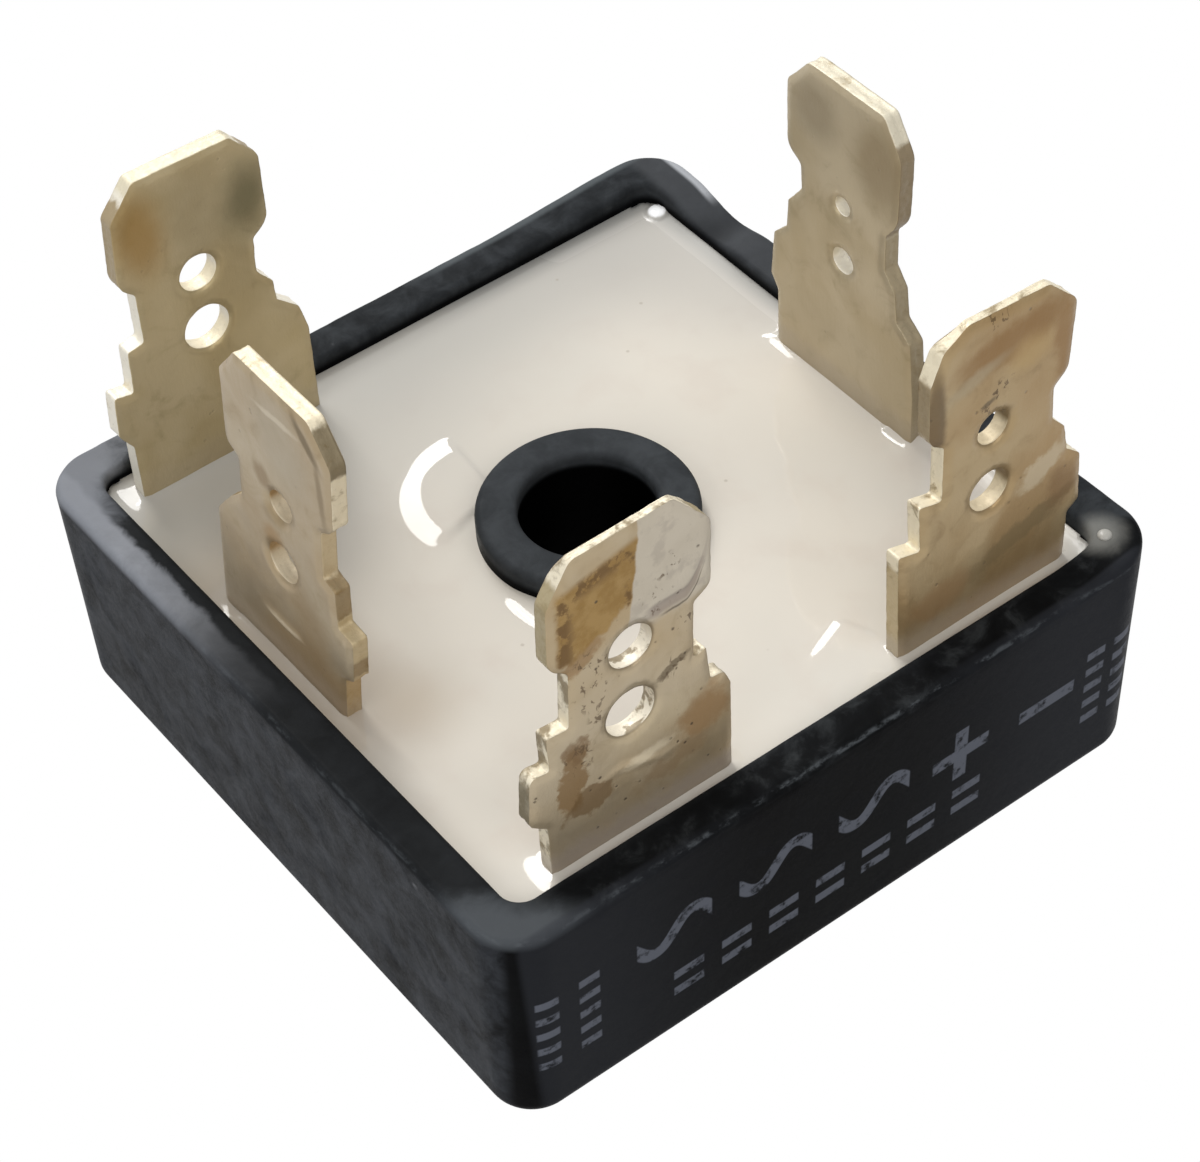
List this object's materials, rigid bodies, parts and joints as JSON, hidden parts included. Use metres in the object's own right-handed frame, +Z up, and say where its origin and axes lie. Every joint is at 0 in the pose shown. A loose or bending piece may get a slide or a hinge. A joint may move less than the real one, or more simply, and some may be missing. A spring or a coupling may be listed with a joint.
{
  "type": "bridge rectifier",
  "caption": "Square three-phase bridge rectifier module with push-on blade terminals, a potted open-topped case and a centre screw hole.",
  "frame": {"origin": "centre of the underside, on the screw hole's axis", "axes": "+Z up along the screw hole, towards the terminals; +X along the front side, which carries the marking and two terminals; +Y from that side to the rear"},
  "size_m": [0.029, 0.029, 0.0234],
  "materials": {
    "case_plastic": "satin",
    "base_metal": "satin",
    "ceramic": "matte",
    "potting_resin": "gloss",
    "copper": "satin",
    "silicon": "gloss",
    "terminal_metal": "satin"
  },
  "bodies": {
    "root": {"case": "case_plastic", "base_plate": "base_metal", "ceramic": "ceramic", "potting": "potting_resin", "track_ac_1": "copper", "track_ac_2": "copper", "track_ac_3": "copper", "track_minus": "copper", "track_plus": "copper", "die_low_1": "silicon", "die_low_2": "silicon", "die_low_3": "silicon", "die_high_1": "silicon", "die_high_2": "silicon", "die_high_3": "silicon", "clip_1": "copper", "clip_2": "copper", "clip_3": "copper", "plus_bar": "copper", "terminal_ac_1": "terminal_metal", "terminal_ac_2": "terminal_metal", "terminal_ac_3": "terminal_metal", "terminal_minus": "terminal_metal", "terminal_plus": "terminal_metal"}
  },
  "joints": []
}
